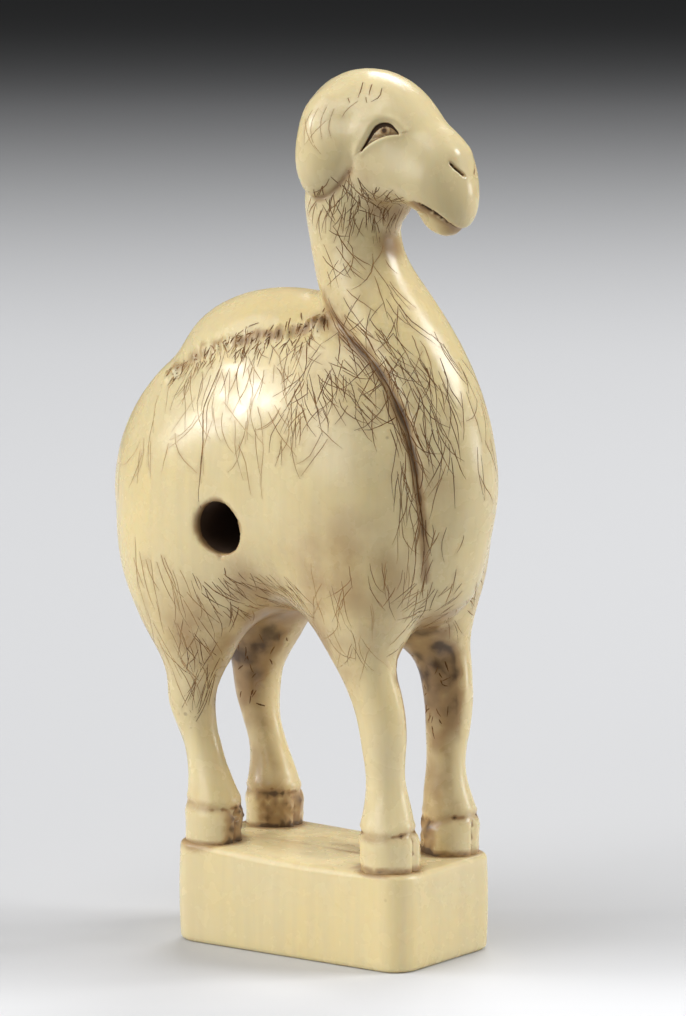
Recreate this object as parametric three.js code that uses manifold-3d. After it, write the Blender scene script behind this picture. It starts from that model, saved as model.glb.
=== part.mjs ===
import * as THREE from 'three';
import Module from 'manifold-3d';

// A standing camel carved with its block base from one piece of ivory, a toggle with a cord
// channel through the flanks. Millimetres, +Z up, the animal faces +X, the origin is the
// middle of the underside of the base.

const BASE = { middle: -0.12, halfLength: 11.3, halfWidth: 6.5, height: 7.9, corner: 2.2, edge: 0.45, bulge: 0.1 };
const BASE_TILT = 0.015;
const CORD = { x: -5.1, z: 34.05, radius: 2.12, halfRun: 12 };
const HOOF_SINK = 0.6;

// A limb is a stack of level ovals, each row being height, centre x, centre y,
// half-length along x and half-width along y.
const HIND_LEG = [
  [BASE.height - HOOF_SINK, -8.89, 3.98, 2.33, 2.23],
  [9.6, -8.85, 4.03, 2.34, 2.25],
  [10.9, -8.9, 3.98, 2.24, 2.16],
  [12.6, -9.14, 4.08, 1.88, 1.78],
  [15.0, -9.75, 4.11, 1.51, 1.46],
  [17.2, -10.46, 4.18, 1.64, 1.55],
  [19.1, -10.8, 4.35, 1.9, 1.83],
  [20.9, -10.69, 4.28, 2.22, 2.02],
  [22.6, -10.45, 4.29, 2.98, 2.47],
  [24.6, -10.42, 4.47, 4.15, 3.04],
  [27.5, -10.29, 4.4, 5.91, 3.71],
  [32.0, -10.21, 3.81, 6.83, 4.04],
  [37.0, -9.67, 2.47, 4.73, 3.15],
  [41.0, -8.83, 1.27, 1.39, 1.39],
];
const FORE_LEG = [
  [BASE.height - HOOF_SINK, 8.3, 4.02, 2.35, 2.31],
  [9.6, 8.27, 4.06, 2.37, 2.3],
  [10.9, 8.21, 4.21, 2.23, 2.09],
  [12.6, 8.06, 4.05, 1.91, 1.79],
  [15.0, 7.91, 4.11, 1.61, 1.47],
  [17.4, 7.91, 4.32, 1.79, 1.65],
  [20.0, 7.78, 4.6, 2.04, 1.77],
  [22.2, 7.25, 4.9, 2.26, 1.85],
  [24.4, 6.59, 5.18, 2.48, 1.92],
  [27.0, 6.17, 5.17, 2.95, 2.25],
  [31.0, 5.69, 4.81, 4.21, 3.11],
  [35.0, 5.08, 4.07, 4.24, 3.04],
  [39.5, 4.3, 2.36, 1.07, 1.07],
];
const NECK = [
  [26.4, 8.13, 0, 1.55, 1.75],
  [28.2, 8.22, 0, 3.64, 3.84],
  [30.4, 8.22, 0, 4.85, 4.95],
  [33.2, 8.22, 0, 5.55, 5.5],
  [36.7, 8.38, 0, 6.03, 5.83],
  [40.5, 8.24, 0, 5.97, 5.72],
  [44.0, 7.68, 0, 5.63, 5.38],
  [47.2, 6.74, 0, 5.14, 4.98],
  [50.2, 5.3, 0, 4.64, 4.54],
  [52.6, 3.78, 0, 4.21, 4.21],
  [55.0, 2.51, 0, 3.7, 3.7],
  [57.6, 1.91, 0, 3.67, 3.62],
  [60.4, 2.14, 0, 3.98, 3.98],
  [63.5, 2.98, 0, 3.44, 3.44],
  [66.0, 3.4, 0, 2.53, 2.53],
];

// The tail lies flat against the rump, thickest at the tuft near its end.
const TAIL = [
  [26.2, -15.2, 0, 0.3, 0.3],
  [27.2, -16.0, 0, 0.75, 0.7],
  [28.6, -17.1, 0, 0.95, 0.9],
  [30.5, -18.3, 0, 0.9, 0.85],
  [33.0, -19.6, 0, 0.62, 0.65],
  [36.0, -20.05, 0, 0.6, 0.65],
  [39.0, -19.45, 0, 0.75, 0.9],
  [41.5, -18.3, 0, 0.8, 1.1],
  [43.0, -17.2, 0, 0.5, 0.6],
];

// The face: an almond eye round a sloping chord, a slit nostril and the line of the mouth.
// Each is cut on the right side of the head and mirrored to the left.
const EYE = { tail: [5.6, 63.8], front: [8.55, 65.35], upperArch: 1.38, lowerArch: 0.4, cut: 0.2 };
const NOSTRIL = { path: [[12.2, 1.65, 63.2], [12.75, 1.25, 62.6], [13.05, 0.9, 62.15]], cut: 0.2 };
const MOUTH = { corner: [10.1, 3.0, 60.1], front: [12.0, 0, 57.85], drop: 0.35, cut: 0.2 };

// A smooth curve through one column of a limb's rows, straight at both ends.
function curveThrough(rows, column) {
  const last = rows.length - 1;
  const bends = new Array(last + 1).fill(0);
  const weights = new Array(last + 1).fill(0);
  const at = (i) => rows[i][0];
  const slope = (i) => (rows[i + 1][column] - rows[i][column]) / (at(i + 1) - at(i));
  for (let i = 1; i < last; i += 1) {
    const before = at(i) - at(i - 1);
    const after = at(i + 1) - at(i);
    const pivot = 2 * (before + after) - before * weights[i - 1];
    weights[i] = after / pivot;
    bends[i] = (6 * (slope(i) - slope(i - 1)) - before * bends[i - 1]) / pivot;
  }
  for (let i = last - 1; i > 0; i -= 1) {
    bends[i] -= weights[i] * bends[i + 1];
  }
  return (height) => {
    const h = Math.min(Math.max(height, at(0)), at(last));
    let i = 0;
    while (i < last - 1 && h > at(i + 1)) {
      i += 1;
    }
    const span = at(i + 1) - at(i);
    const a = (at(i + 1) - h) / span;
    const b = 1 - a;
    const bow = ((a ** 3 - a) * bends[i] + (b ** 3 - b) * bends[i + 1]) * span * span / 6;
    return a * rows[i][column] + b * rows[i + 1][column] + bow;
  };
}

// Signed distances, near enough: negative inside the ivory, positive outside.
function ovalDepth(scaled, slopeLength, least) {
  return scaled < 0.02 ? -least : scaled * (scaled - 1) / slopeLength;
}

function limb(rows) {
  const [midX, midY, halfX, halfY] = [1, 2, 3, 4].map((column) => curveThrough(rows, column));
  const foot = rows[0][0];
  const top = rows[rows.length - 1][0];
  return (x, y, z) => {
    const rx = halfX(z);
    const ry = halfY(z);
    const px = (x - midX(z)) / rx;
    const py = (y - midY(z)) / ry;
    const side = ovalDepth(Math.hypot(px, py), Math.hypot(px / rx, py / ry), Math.min(rx, ry));
    return Math.max(side, z - top, foot - z);
  };
}

// An egg with its long axis dipped forward by a pitch in degrees; the half below the middle
// may have its own depth.
function egg(centre, radii, pitch = 0, lowerDepth = radii[2]) {
  const cos = Math.cos(THREE.MathUtils.degToRad(pitch));
  const sin = Math.sin(THREE.MathUtils.degToRad(pitch));
  return (x, y, z) => {
    const dx = x - centre[0];
    const dz = z - centre[2];
    const along = cos * dx - sin * dz;
    const up = sin * dx + cos * dz;
    const rz = up > 0 ? radii[2] : lowerDepth;
    const px = along / radii[0];
    const py = (y - centre[1]) / radii[1];
    const pz = up / rz;
    const slope = Math.hypot(px / radii[0], py / radii[1], pz / rz);
    return ovalDepth(Math.hypot(px, py, pz), slope, Math.min(...radii));
  };
}

// The union of two forms with the seam between them filled out over a width.
function blend(a, b, width) {
  const h = Math.min(Math.max(0.5 + 0.5 * (b - a) / width, 0), 1);
  return b + (a - b) * h - width * h * (1 - h);
}

const hindLeg = limb(HIND_LEG);
const foreLeg = limb(FORE_LEG);
const neck = limb(NECK);
const tail = limb(TAIL);
const barrel = egg([-3.73, 0, 35.94], [16.41, 8.8, 13.83], 0, 9.46);
const rump = egg([-10.76, 0, 34.42], [8.04, 7.6, 9.6]);
const shoulder = egg([4.2, 3.4, 37.0], [7.1, 5.3, 13.0], -8);
const withers = egg([-0.2, 0, 41.5], [8.6, 7.2, 10.0]);
const hump = egg([-3.96, 0, 45.51], [10.09, 6.5, 6.66]);
const skull = egg([3.4, 0, 65.04], [5.51, 4.6, 4.85]);
const face = egg([7.56, 0, 62.65], [6.73, 3.55, 4.04], 41, 2.02);
const muzzle = egg([10.02, 0, 62.26], [2.14, 2.6, 3.01], 0, 2.49);
const chin = egg([10.19, 0, 59.03], [2.01, 1.8, 1.41], 44);
const cheek = egg([5.49, 2.05, 61.95], [3.68, 1.8, 1.9], 12);
const throat = egg([4.9, 0, 60.16], [2.18, 2.4, 2.32], -20);
const ear = egg([1.85, 3.5, 64.28], [2.45, 1.95, 3.66]);
const earTip = egg([0.96, 3.4, 62.69], [1.51, 1.9, 2.76]);

function animal(x, y, z) {
  const side = Math.abs(y);
  let body = blend(barrel(x, y, z), rump(x, y, z), 2.5);
  body = blend(body, hindLeg(x, side, z), 2.6);
  body = blend(body, foreLeg(x, side, z), 1.8);
  body = blend(body, shoulder(x, side, z), 2.5);
  body = blend(body, withers(x, y, z), 2.0);
  body = blend(body, hump(x, y, z), 1.0);
  body = blend(body, neck(x, y, z), 0.7);
  body = blend(body, throat(x, y, z), 1.2);
  body = blend(body, tail(x, y, z), 0.5);
  let head = blend(skull(x, y, z), face(x, y, z), 2.0);
  head = blend(head, muzzle(x, y, z), 1.5);
  head = blend(head, chin(x, y, z), 0.4);
  head = blend(head, cheek(x, side, z), 1.2);
  const earSeam = 0.35 + 1.3 * THREE.MathUtils.clamp((z - 62) / 6, 0, 1);
  const hanging = blend(ear(x, side, z), earTip(x, side, z), 1.0);
  return blend(blend(body, head, 0.8), hanging, earSeam);
}

// Grid lines whose step changes along the way: [start, step] runs up to an end.
function gridLines(runs, end) {
  const lines = [];
  runs.forEach(([start, step], i) => {
    const stop = i + 1 < runs.length ? runs[i + 1][0] : end;
    const count = Math.max(1, Math.round((stop - start) / step));
    for (let n = 0; n < count; n += 1) {
      lines.push(start + (stop - start) * n / count);
    }
  });
  lines.push(end);
  return lines;
}

function mirrored(lines) {
  return [...lines.slice(1).reverse().map((v) => -v), ...lines];
}

// The skin of a form: one corner in every grid cell the surface crosses, slid onto the
// surface, and a four-sided facet round every grid edge it cuts.
function skin(form, xs, ys, zs) {
  const [nx, ny, nz] = [xs.length, ys.length, zs.length];
  const node = (i, j, k) => (k * ny + j) * nx + i;
  const depth = new Float64Array(nx * ny * nz);
  for (let k = 0; k < nz; k += 1) {
    for (let j = 0; j < ny; j += 1) {
      for (let i = 0; i < nx; i += 1) {
        depth[node(i, j, k)] = form(xs[i], ys[j], zs[k]);
      }
    }
  }
  const points = [];
  const owner = new Int32Array(nx * ny * nz).fill(-1);
  for (let k = 0; k < nz - 1; k += 1) {
    for (let j = 0; j < ny - 1; j += 1) {
      for (let i = 0; i < nx - 1; i += 1) {
        const point = crossing(depth, node, xs, ys, zs, i, j, k);
        if (point) {
          owner[node(i, j, k)] = points.length;
          points.push(settle(form, point));
        }
      }
    }
  }
  const triangles = [];
  const facet = (a, b, c, d, outward) => {
    const ring = (outward ? [a, b, c, d] : [d, c, b, a]).map((cell) => owner[cell]);
    const gap = (p, q) => points[ring[p]].distanceTo(points[ring[q]]);
    const [p, q, r, s] = gap(0, 2) < gap(1, 3) ? ring : [...ring.slice(1), ring[0]];
    triangles.push(p, q, r, p, r, s);
  };
  for (let k = 1; k < nz - 1; k += 1) {
    for (let j = 1; j < ny - 1; j += 1) {
      for (let i = 1; i < nx - 1; i += 1) {
        const here = depth[node(i, j, k)] < 0;
        if (here !== (depth[node(i + 1, j, k)] < 0)) {
          facet(node(i, j - 1, k - 1), node(i, j, k - 1), node(i, j, k), node(i, j - 1, k), here);
        }
        if (here !== (depth[node(i, j + 1, k)] < 0)) {
          facet(node(i - 1, j, k - 1), node(i - 1, j, k), node(i, j, k), node(i, j, k - 1), here);
        }
        if (here !== (depth[node(i, j, k + 1)] < 0)) {
          facet(node(i - 1, j - 1, k), node(i, j - 1, k), node(i, j, k), node(i - 1, j, k), here);
        }
      }
    }
  }
  return closedMesh(points, triangles);
}

// The mean of the places where the surface cuts one cell's edges.
function crossing(depth, node, xs, ys, zs, i, j, k) {
  const sum = new THREE.Vector3();
  let cuts = 0;
  const corner = (bits) => [i + (bits & 1), j + ((bits >> 1) & 1), k + ((bits >> 2) & 1)];
  for (let bits = 0; bits < 8; bits += 1) {
    for (const axis of [1, 2, 4]) {
      if (bits & axis) {
        continue;
      }
      const [a, b] = [corner(bits), corner(bits | axis)];
      const da = depth[node(...a)];
      const db = depth[node(...b)];
      if ((da < 0) !== (db < 0)) {
        const t = da / (da - db);
        const start = new THREE.Vector3(xs[a[0]], ys[a[1]], zs[a[2]]);
        const end = new THREE.Vector3(xs[b[0]], ys[b[1]], zs[b[2]]);
        sum.add(start.lerp(end, t));
        cuts += 1;
      }
    }
  }
  return cuts ? sum.divideScalar(cuts) : null;
}

// Slides a point onto the surface along the form's own slope, in short steps.
function settle(form, point) {
  const reach = 0.02;
  const home = point.clone();
  for (let step = 0; step < 4; step += 1) {
    const { x, y, z } = point;
    const here = form(x, y, z);
    const slope = new THREE.Vector3(
      form(x + reach, y, z) - form(x - reach, y, z),
      form(x, y + reach, z) - form(x, y - reach, z),
      form(x, y, z + reach) - form(x, y, z - reach),
    ).divideScalar(2 * reach);
    const move = THREE.MathUtils.clamp(here / Math.max(slope.lengthSq(), 0.2), -0.25, 0.25);
    point.addScaledVector(slope, -move);
  }
  return point.distanceTo(home) < 0.45 ? point : home;
}

function closedMesh(points, triangles) {
  const geometry = new THREE.BufferGeometry();
  const positions = new Float32Array(points.length * 3);
  points.forEach((p, i) => p.toArray(positions, i * 3));
  geometry.setAttribute('position', new THREE.BufferAttribute(positions, 3));
  geometry.setIndex(triangles);
  return geometry;
}

// The block base: rounded upright corners, faintly bulged sides and eased edges, as a stack
// of rings from the underside to the top.
function blockBase() {
  const cornerSteps = 6;
  const edgeSteps = 2;
  const plan = [];
  const cornerX = BASE.halfLength - BASE.corner;
  const cornerY = BASE.halfWidth - BASE.corner;
  [[1, 1], [-1, 1], [-1, -1], [1, -1]].forEach(([sx, sy], quarter) => {
    for (let n = 0; n <= cornerSteps; n += 1) {
      const turn = (quarter + n / cornerSteps) * Math.PI / 2;
      plan.push([sx * cornerX, sy * cornerY, Math.cos(turn), Math.sin(turn)]);
    }
    const alongX = quarter % 2 === 0;
    for (let n = 1; n < 6; n += 1) {
      const t = 1 - n / 3;
      const swell = BASE.corner + BASE.bulge * (1 - t * t);
      const place = alongX ? [sx * cornerX * t, sy * cornerY] : [sx * cornerX, sy * cornerY * t];
      const out = alongX ? [0, sy] : [sx, 0];
      plan.push([...place, out[0] * swell / BASE.corner, out[1] * swell / BASE.corner]);
    }
  });
  const rings = [];
  for (let n = 0; n <= edgeSteps; n += 1) {
    const turn = n / edgeSteps * Math.PI / 2;
    rings.push([BASE.edge * (1 - Math.sin(turn)), BASE.edge * (1 - Math.cos(turn))]);
  }
  const levels = [
    ...rings.map(([inset, rise]) => [inset, rise]),
    ...rings.reverse().map(([inset, rise]) => [inset, BASE.height - rise]),
  ];
  const points = [];
  levels.forEach(([inset, level]) => {
    plan.forEach(([x, y, ux, uy]) => {
      const px = x + ux * (BASE.corner - inset);
      const tilt = level > BASE.height / 2 ? BASE_TILT * px : 0;
      points.push(new THREE.Vector3(px + BASE.middle, y + uy * (BASE.corner - inset), level - tilt));
    });
  });
  const around = plan.length;
  const triangles = [];
  for (let level = 0; level + 1 < levels.length; level += 1) {
    for (let n = 0; n < around; n += 1) {
      const a = level * around + n;
      const b = level * around + (n + 1) % around;
      triangles.push(a, b, b + around, a, b + around, a + around);
    }
  }
  for (let n = 1; n + 1 < around; n += 1) {
    const top = (levels.length - 1) * around;
    triangles.push(0, n + 1, n, top, top + n, top + n + 1);
  }
  return closedMesh(points, triangles);
}

// A round bar along a path, tapering to its ends: the tool for grooves and for the channel.
function bar(path, radii, sides = 6) {
  const points = [];
  const triangles = [];
  const up = new THREE.Vector3(0, 0, 1);
  path.forEach((centre, i) => {
    const ahead = path[Math.min(i + 1, path.length - 1)].clone();
    const run = ahead.sub(path[Math.max(i - 1, 0)]).normalize();
    const across = new THREE.Vector3().crossVectors(run, up).normalize();
    const over = new THREE.Vector3().crossVectors(across, run);
    for (let n = 0; n < sides; n += 1) {
      const turn = n / sides * Math.PI * 2;
      const point = centre.clone().addScaledVector(across, Math.cos(turn) * radii[i]);
      points.push(point.addScaledVector(over, Math.sin(turn) * radii[i]));
    }
  });
  for (let i = 0; i + 1 < path.length; i += 1) {
    for (let n = 0; n < sides; n += 1) {
      const a = i * sides + n;
      const b = i * sides + (n + 1) % sides;
      triangles.push(a, b + sides, b, a, a + sides, b + sides);
    }
  }
  for (let n = 1; n + 1 < sides; n += 1) {
    const top = (path.length - 1) * sides;
    triangles.push(0, n, n + 1, top, top + n + 1, top + n);
  }
  return closedMesh(points, triangles);
}

const wasm = await Module();
wasm.setup();

function solid(geometry) {
  const mesh = new wasm.Mesh({
    numProp: 3,
    vertProperties: new Float32Array(geometry.attributes.position.array),
    triVerts: new Uint32Array(geometry.index.array),
  });
  mesh.merge();
  return new wasm.Manifold(mesh);
}

function geometryOf(body) {
  const mesh = body.getMesh();
  const geometry = new THREE.BufferGeometry();
  geometry.setAttribute('position', new THREE.BufferAttribute(new Float32Array(mesh.vertProperties), 3));
  geometry.setIndex(Array.from(mesh.triVerts));
  geometry.computeVertexNormals();
  return geometry;
}

const xs = gridLines([[-23.4, 1.8], [-13.0, 1.15], [-6.3, 1.7], [-0.8, 1.2], [4.6, 0.95]], 16.4);
const ys = mirrored(gridLines([[0, 1.0], [6.4, 1.5]], 11.8));
const zs = gridLines([[5.6, 0.9], [9.4, 0.74], [12.3, 1.35], [24.0, 1.95], [49.0, 1.35], [57.6, 0.95]], 72.2);

// Slides a point in or out until it lies on the animal, so that a cut follows the surface.
function onAnimal([x, y, z]) {
  let point = new THREE.Vector3(x, y, z);
  for (let step = 0; step < 12; step += 1) {
    point = settle(animal, point);
  }
  return point;
}

function eyeLid(arch) {
  const [tail, front] = [EYE.tail, EYE.front];
  const run = [front[0] - tail[0], front[1] - tail[1]];
  const length = Math.hypot(...run);
  const steps = 6;
  return Array.from({ length: steps + 1 }, (_, n) => {
    const t = n / steps;
    const rise = arch * Math.sin(Math.PI * t);
    const x = tail[0] + run[0] * t - run[1] / length * rise;
    const z = tail[1] + run[1] * t + run[0] / length * rise;
    return [x, 4.3 - 1.2 * t, z];
  });
}

function mouthLine() {
  const steps = 10;
  return Array.from({ length: steps + 1 }, (_, n) => {
    const turn = (n / steps - 0.5) * Math.PI;
    const back = 1 - Math.cos(turn);
    const [front, corner] = [MOUTH.front, MOUTH.corner];
    const x = front[0] + (corner[0] - front[0]) * back;
    const z = front[2] + (corner[2] - front[2]) * back - MOUTH.drop * Math.sin(Math.PI * back);
    return [x, corner[1] * Math.sin(turn), z];
  });
}

// A groove is a bar laid half its width into the surface, thinned at both ends.
function groove(path, cut) {
  const last = path.length - 1;
  const radii = path.map((_, i) => cut * (i === 0 || i === last ? 0.4 : 1));
  return solid(bar(path.map(onAnimal), radii, 5));
}

const otherSide = (path) => path.map(([x, y, z]) => [x, -y, z]);

let carving = solid(skin(animal, xs, ys, zs));
carving = carving.add(solid(blockBase()));
const channel = [-CORD.halfRun, CORD.halfRun].map((y) => new THREE.Vector3(CORD.x, y, CORD.z));
carving = carving.subtract(solid(bar(channel, [CORD.radius, CORD.radius], 24)));
const faceLines = [
  [eyeLid(EYE.upperArch), EYE.cut],
  [eyeLid(EYE.lowerArch), EYE.cut * 0.7],
  [NOSTRIL.path, NOSTRIL.cut],
];
for (const [path, cut] of faceLines) {
  carving = carving.subtract(groove(path, cut)).subtract(groove(otherSide(path), cut));
}
carving = carving.subtract(groove(mouthLine(), MOUTH.cut));

const ivory = new THREE.MeshStandardMaterial({ color: 0xe6d9b4, roughness: 0.35, metalness: 0 });
const camel = new THREE.Mesh(geometryOf(carving), ivory);
camel.name = 'camel_netsuke';

const group = new THREE.Group();
group.name = 'netsuke';
group.add(camel);

export default group;
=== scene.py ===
import math

import bmesh
import bpy
import numpy as np
from mathutils import Matrix, Vector, noise
from mathutils.bvhtree import BVHTree
from mathutils.kdtree import KDTree


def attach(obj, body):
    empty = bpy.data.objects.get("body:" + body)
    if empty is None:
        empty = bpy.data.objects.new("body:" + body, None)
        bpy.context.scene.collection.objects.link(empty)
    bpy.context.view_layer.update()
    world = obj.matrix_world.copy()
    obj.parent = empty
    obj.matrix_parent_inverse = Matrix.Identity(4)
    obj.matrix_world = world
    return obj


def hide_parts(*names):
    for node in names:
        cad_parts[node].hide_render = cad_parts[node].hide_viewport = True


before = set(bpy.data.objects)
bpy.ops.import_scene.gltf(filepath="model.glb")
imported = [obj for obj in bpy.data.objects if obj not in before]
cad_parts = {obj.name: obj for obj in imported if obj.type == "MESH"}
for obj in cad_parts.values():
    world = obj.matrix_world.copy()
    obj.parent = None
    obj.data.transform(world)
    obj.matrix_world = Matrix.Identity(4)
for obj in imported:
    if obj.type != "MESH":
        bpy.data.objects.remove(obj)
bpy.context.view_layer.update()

# The studio: a plain pale tabletop whose colour is painted darker far back, as painted light falloff into a
# dark background, a camera a little above the animal's head that looks down at its right front, and soft
# light from both sides.
CAMERA_AZIMUTH = math.radians(36.0)
CAMERA_DISTANCE = 0.53
CAMERA_HEIGHT = 0.12
CAMERA_AIM = (-0.57935239, 0.79955245, -0.15832464)
LENS = 241.654

camera_data = bpy.data.cameras.new("camera")
camera_data.lens = LENS
camera_data.sensor_width = 36.0
camera_data.clip_start = 0.01
camera_data.clip_end = 20.0
camera = bpy.data.objects.new("camera", camera_data)
bpy.context.scene.collection.objects.link(camera)
camera.location = (math.sin(CAMERA_AZIMUTH) * CAMERA_DISTANCE,
                   -math.cos(CAMERA_AZIMUTH) * CAMERA_DISTANCE, CAMERA_HEIGHT)
camera.rotation_euler = Vector(CAMERA_AIM).to_track_quat("-Z", "Y").to_euler()
bpy.context.scene.camera = camera

# the paper's painted brightness changes with the distance from the camera, from near to far: dark near the
# camera, a painted pool of light just in front of the block, and painted falloff into darkness far back
AWAY_FROM_CAMERA = (-0.5868, 0.8098, 0)
TONES_START = -0.2
PAPER_TONES = [(0.0, 0.03), (0.09, 0.03), (0.105, 0.15), (0.12, 0.62), (0.145, 0.78), (0.155, 0.66),
               (0.17, 0.53), (0.185, 0.52), (0.45, 0.6), (0.58, 0.4), (0.72, 0.108), (0.82, 0.008),
               (0.9, 0.002), (1.0, 0.001)]
floor_mesh = bpy.data.meshes.new("tabletop")
sheet = bmesh.new()
bmesh.ops.create_grid(sheet, x_segments=2, y_segments=2, size=3.0)
sheet.to_mesh(floor_mesh)
sheet.free()
floor = bpy.data.objects.new("tabletop", floor_mesh)
bpy.context.scene.collection.objects.link(floor)
paper = bpy.data.materials.new("paper with painted falloff")
paper.use_nodes = True
paper_shader = paper.node_tree.nodes["Principled BSDF"]
paper_shader.inputs["Roughness"].default_value = 0.8
paper_place = paper.node_tree.nodes.new("ShaderNodeTexCoord")
paper_turn = paper.node_tree.nodes.new("ShaderNodeVectorMath")
paper_turn.operation = "DOT_PRODUCT"
paper_turn.inputs[1].default_value = AWAY_FROM_CAMERA
paper_span = paper.node_tree.nodes.new("ShaderNodeMapRange")
paper_span.inputs[1].default_value = TONES_START
paper_tone = paper.node_tree.nodes.new("ShaderNodeValToRGB")
paper.node_tree.links.new(paper_place.outputs["Object"], paper_turn.inputs[0])
paper.node_tree.links.new(paper_turn.outputs["Value"], paper_span.inputs[0])
paper.node_tree.links.new(paper_span.outputs[0], paper_tone.inputs["Fac"])
paper.node_tree.links.new(paper_tone.outputs["Color"], paper_shader.inputs["Base Color"])
paper_tone.color_ramp.interpolation = "B_SPLINE"
while len(paper_tone.color_ramp.elements) < len(PAPER_TONES):
    paper_tone.color_ramp.elements.new(0.5)
for element, (position, tone) in zip(paper_tone.color_ramp.elements, PAPER_TONES):
    element.position = position
    element.color = (tone * 0.985, tone * 0.99, tone * 1.01, 1)
floor_mesh.materials.append(paper)


def softbox(name, azimuth, height, distance, size, power):
    light = bpy.data.lights.new(name, "AREA")
    light.shape = "RECTANGLE"
    light.size, light.size_y = size
    light.energy = power
    lamp = bpy.data.objects.new(name, light)
    turn, rise = math.radians(azimuth), math.radians(height)
    way = Vector((math.cos(turn) * math.cos(rise), math.sin(turn) * math.cos(rise), math.sin(rise)))
    lamp.location = LIT_MIDDLE + distance * way
    lamp.rotation_euler = (LIT_MIDDLE - lamp.location).to_track_quat("-Z", "Y").to_euler()
    bpy.context.scene.collection.objects.link(lamp)


# name, azimuth and height in degrees, distance and size in metres, watts
LIT_MIDDLE = Vector((0, 0, 0.04))
softbox("left softbox", -130, 36, 0.8, (0.8, 0.7), 4.1)
softbox("left card", -143, 18, 0.7, (0.09, 0.07), 0.7)
softbox("front card", -98, 13, 0.7, (0.5, 0.3), 1.15)
softbox("right softbox", 38, 36, 0.75, (0.34, 0.3), 4.0)
softbox("back softbox", 112, 46, 0.8, (0.36, 0.3), 2.6)
softbox("top card", -75, 68, 0.8, (0.4, 0.4), 1.3)
softbox("low right card", 40, 6, 0.7, (0.24, 0.12), 0.6)
world = bpy.data.worlds.new("studio")
bpy.context.scene.world = world
world.use_nodes = True
world.node_tree.nodes["Background"].inputs["Color"].default_value = (0.92, 0.96, 1.0, 1)
world.node_tree.nodes["Background"].inputs["Strength"].default_value = 0.1
bpy.context.scene.view_settings.view_transform = "Standard"

# The carved camel and its block base are one piece of ivory. The form is cut, rounded and polished
# by hand, bored through the flanks for a cord, and the coat, face and feet are engraved and inked.
# All lengths down to the end of the cutting are in millimetres.
MM = 0.001
BLOCK_MIDDLE = -0.12
BLOCK_HALF = (11.3, 6.5)
BLOCK_TOP = 7.9
BLOCK_TILT = 0.015
BLOCK_CORNER = 2.1
BLOCK_EDGE = 0.42
HOOF_SINK = 0.6
CHANNEL = (-5.1, 34.05)
CHANNEL_RADIUS = 2.12

# height, middle x, middle y, half-length in x, half-width in y
HIND_LEG = np.array([
    (BLOCK_TOP - HOOF_SINK, -8.89, 3.98, 2.33, 2.23), (9.6, -8.85, 4.03, 2.34, 2.25),
    (10.9, -8.9, 3.98, 2.24, 2.16),
    (12.6, -9.14, 4.08, 1.88, 1.78), (15, -9.75, 4.11, 1.51, 1.46), (17.2, -10.46, 4.18, 1.64, 1.55),
    (19.1, -10.8, 4.35, 1.9, 1.83), (20.9, -10.69, 4.28, 2.22, 2.02), (22.6, -10.45, 4.29, 2.98, 2.47),
    (24.6, -10.42, 4.47, 4.15, 3.04), (27.5, -10.29, 4.4, 5.91, 3.71), (32, -10.21, 3.81, 6.83, 4.04),
    (37, -9.67, 2.47, 4.73, 3.15), (41, -8.83, 1.27, 1.39, 1.39)])
FORE_LEG = np.array([
    (BLOCK_TOP - HOOF_SINK, 8.3, 4.02, 2.35, 2.31), (9.6, 8.27, 4.06, 2.37, 2.3),
    (10.9, 8.21, 4.21, 2.23, 2.09),
    (12.6, 8.06, 4.05, 1.91, 1.79), (15, 7.91, 4.11, 1.61, 1.47), (17.4, 7.91, 4.32, 1.79, 1.65),
    (20, 7.78, 4.6, 2.04, 1.77), (22.2, 7.25, 4.9, 2.26, 1.85), (24.4, 6.59, 5.18, 2.48, 1.92),
    (27, 6.17, 5.17, 2.95, 2.25), (31, 5.69, 4.81, 4.21, 3.11), (35, 5.08, 4.07, 4.24, 3.04),
    (39.5, 4.3, 2.36, 1.07, 1.07)])
NECK = np.array([
    (26.4, 8.13, 0, 1.55, 1.75), (28.2, 8.22, 0, 3.64, 3.84), (30.4, 8.22, 0, 4.85, 4.95),
    (33.2, 8.22, 0, 5.55, 5.5), (36.7, 8.38, 0, 6.03, 5.83), (40.5, 8.24, 0, 5.97, 5.72),
    (44, 7.68, 0, 5.63, 5.38), (47.2, 6.74, 0, 5.14, 4.98),
    (50.2, 5.3, 0, 4.64, 4.54), (52.6, 3.78, 0, 4.21, 4.21), (55, 2.51, 0, 3.7, 3.7),
    (57.6, 1.91, 0, 3.67, 3.62),
    (60.4, 2.14, 0, 3.98, 3.98), (63.5, 2.98, 0, 3.44, 3.44), (66, 3.4, 0, 2.53, 2.53)])
TAIL = np.array([
    (26.2, -15.2, 0, 0.3, 0.3), (27.2, -16, 0, 0.75, 0.7), (28.6, -17.1, 0, 0.95, 0.9),
    (30.5, -18.3, 0, 0.9, 0.85), (33, -19.6, 0, 0.62, 0.65), (36, -20.05, 0, 0.6, 0.65),
    (39, -19.45, 0, 0.75, 0.9), (41.5, -18.3, 0, 0.8, 1.1), (43, -17.2, 0, 0.5, 0.6)])


# a smooth curve through one column of a table, read off at any height
def curve_through(rows, column):
    heights, values = rows[:, 0], rows[:, column]
    spans = np.diff(heights)
    count = len(heights)
    grid, pull = np.eye(count), np.zeros(count)
    for i in range(1, count - 1):
        grid[i, i - 1:i + 2] = spans[i - 1], 2 * (spans[i - 1] + spans[i]), spans[i]
        pull[i] = 6 * ((values[i + 1] - values[i]) / spans[i] - (values[i] - values[i - 1]) / spans[i - 1])
    bends = np.linalg.solve(grid, pull)

    def value(height):
        h = np.clip(height, heights[0], heights[-1])
        i = np.clip(np.searchsorted(heights, h) - 1, 0, count - 2)
        a = (heights[i + 1] - h) / spans[i]
        b = 1 - a
        bow = ((a ** 3 - a) * bends[i] + (b ** 3 - b) * bends[i + 1]) * spans[i] ** 2 / 6
        return a * values[i] + b * values[i + 1] + bow
    return value


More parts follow.
